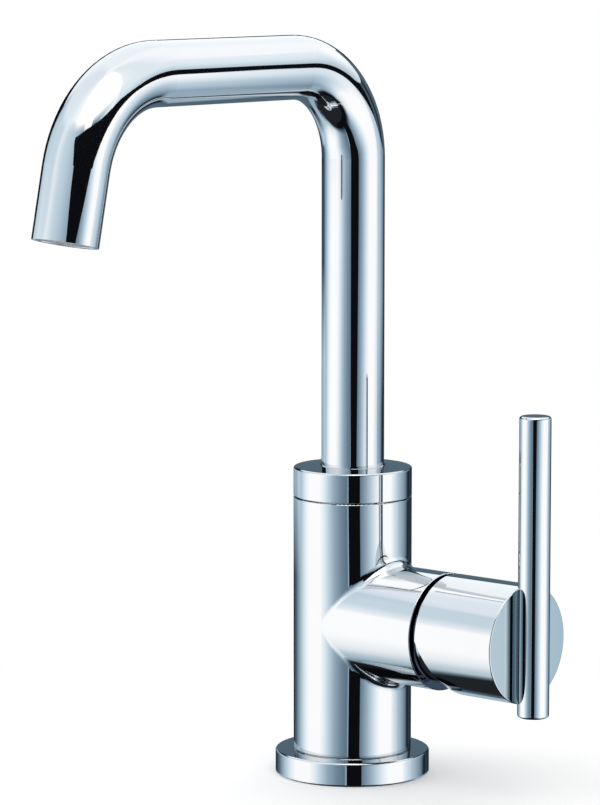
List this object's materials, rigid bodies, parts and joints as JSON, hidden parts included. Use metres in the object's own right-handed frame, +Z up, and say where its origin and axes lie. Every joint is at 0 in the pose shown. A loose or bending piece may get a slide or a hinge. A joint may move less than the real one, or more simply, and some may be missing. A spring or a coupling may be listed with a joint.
{
  "type": "bathroom sink faucet",
  "caption": "Single-handle bathroom sink faucet with a tall square gooseneck tube spout that swivels, and a side hub with a straight rod lever.",
  "frame": {"origin": "centre of the base flange on the deck, at the foot of the column", "axes": "+Z up along the column, -Y towards the basin along the spout at rest, +X along the handle hub"},
  "size_m": [0.1102, 0.1747, 0.253],
  "materials": {
    "valve_body": "polished",
    "base_flange": "polished",
    "spout_collar": "polished",
    "spout_tube": "polished",
    "bonnet_dome": "polished",
    "handle_hub": "polished",
    "lever_rod": "polished",
    "base_gasket": "matte",
    "swivel_stop_screw": "satin",
    "hub_set_screw": "satin",
    "rod_screw": "satin",
    "pivot_pin": "satin",
    "lever_stem": "satin",
    "set_screw_plug": "matte",
    "lower_glide_ring": "matte",
    "upper_glide_ring": "matte",
    "spout_bush": "matte",
    "spout_adaptor": "turned",
    "spout_o_rings": "matte",
    "outlet_sleeve": "polished",
    "aerator_housing": "glossy",
    "aerator_insert": "matte",
    "aerator_screen": "satin",
    "flow_regulator": "matte",
    "aerator_washer": "matte",
    "cartridge_base": "semi-gloss",
    "cartridge_seals": "matte",
    "cartridge_housing": "semi-gloss",
    "fixed_disc": "lapped ceramic",
    "moving_disc": "lapped ceramic",
    "disc_carrier": "semi-gloss",
    "lever_guide": "semi-gloss",
    "cartridge_nut": "turned"
  },
  "bodies": {
    "column": {"valve_body": "valve_body", "base_flange": "base_flange", "base_gasket": "base_gasket", "spout_collar": "spout_collar", "spout_bush": "spout_bush", "lower_glide_ring": "lower_glide_ring", "upper_glide_ring": "upper_glide_ring", "swivel_stop_screw": "swivel_stop_screw", "cartridge_base": "cartridge_base", "cartridge_seals": "cartridge_seals", "cartridge_housing": "cartridge_housing", "fixed_disc": "fixed_disc", "cartridge_nut": "cartridge_nut", "bonnet_dome": "bonnet_dome"},
    "spout": {"spout_tube": "spout_tube", "spout_adaptor": "spout_adaptor", "spout_o_rings": "spout_o_rings", "outlet_sleeve": "outlet_sleeve", "aerator_housing": "aerator_housing", "aerator_insert": "aerator_insert", "aerator_screen": "aerator_screen", "flow_regulator": "flow_regulator", "aerator_washer": "aerator_washer"},
    "mixer": {"lever_guide": "lever_guide", "pivot_pin": "pivot_pin"},
    "lever": {"lever_stem": "lever_stem", "handle_hub": "handle_hub", "lever_rod": "lever_rod", "rod_screw": "rod_screw", "hub_set_screw": "hub_set_screw", "set_screw_plug": "set_screw_plug"},
    "valve_disc": {"moving_disc": "moving_disc", "disc_carrier": "disc_carrier"}
  },
  "joints": [
    {"name": "spout_swivel", "type": "hinge", "parent": "column", "child": "spout", "pos_m": [0, 0, 0.0822], "axis": [0, 0, 1], "range_deg": [-60, 60]},
    {"name": "lever_mix", "type": "hinge", "parent": "column", "child": "mixer", "pos_m": [0.0386, 0, 0.05365], "axis": [1, 0, 0], "range_deg": [-45, 45]},
    {"name": "lever_tilt", "type": "hinge", "parent": "mixer", "child": "lever", "pos_m": [0.0386, 0, 0.05365], "axis": [0, 1, 0], "range_deg": [0, 25]},
    {"name": "disc_slide", "type": "slide", "parent": "mixer", "child": "valve_disc", "axis": [0, 0, 1], "range_m": [0, 0.00356]}
  ],
  "couplings": [
    {"joint": "disc_slide", "follows": "lever_tilt", "m_per_rad": 0.008136}
  ]
}
